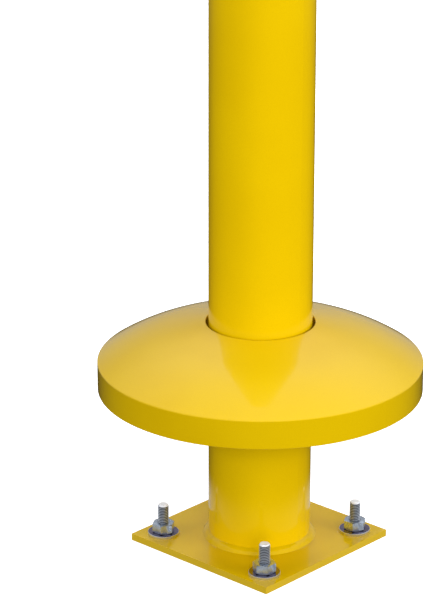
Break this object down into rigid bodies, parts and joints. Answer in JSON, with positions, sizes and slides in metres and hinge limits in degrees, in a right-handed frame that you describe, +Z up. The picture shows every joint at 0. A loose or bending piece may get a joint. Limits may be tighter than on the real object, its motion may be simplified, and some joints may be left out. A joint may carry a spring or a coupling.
{
  "type": "steel safety bollard",
  "caption": "Pipe bollard on a square base plate held by wedge anchors, with a domed cover that slides down the post over the base and a plug cap on top.",
  "frame": {"origin": "centre of the base plate's underside, which stands on the floor", "axes": "+Z up the post; X and Y along the base plate's sides"},
  "size_m": [0.3588, 0.3588, 0.9915],
  "materials": {
    "post_paint": "gloss safety-yellow powder coat",
    "base_paint": "gloss safety-yellow powder coat over plate and weld",
    "cover_paint": "gloss safety-yellow powder coat over spun steel",
    "cap_plastic": "fine moulded texture",
    "anchor_zinc": "bright zinc plate",
    "clip_steel": "plain stamped steel",
    "washer_zinc": "zinc plate, stamped",
    "nut_zinc": "bright zinc plate"
  },
  "bodies": {
    "post": {"post_tube": "post_paint", "base_plate": "base_paint", "base_weld": "base_paint", "anchor_stud_front": "anchor_zinc", "expansion_clip_front": "clip_steel", "flat_washer_front": "washer_zinc", "hex_nut_front": "nut_zinc", "anchor_stud_right": "anchor_zinc", "expansion_clip_right": "clip_steel", "flat_washer_right": "washer_zinc", "hex_nut_right": "nut_zinc", "anchor_stud_back": "anchor_zinc", "expansion_clip_back": "clip_steel", "flat_washer_back": "washer_zinc", "hex_nut_back": "nut_zinc", "anchor_stud_left": "anchor_zinc", "expansion_clip_left": "clip_steel", "flat_washer_left": "washer_zinc", "hex_nut_left": "nut_zinc"},
    "cover": {"sliding_cover": "cover_paint"},
    "cap": {"post_cap": "cap_plastic"}
  },
  "joints": [
    {"name": "cover_slide", "type": "slide", "parent": "post", "child": "cover", "axis": [0, 0, 1], "range_m": [-0.185, 0.65]},
    {"name": "cap_lift", "type": "slide", "parent": "post", "child": "cap", "axis": [0, 0, 1], "range_m": [0, 0.06]}
  ]
}
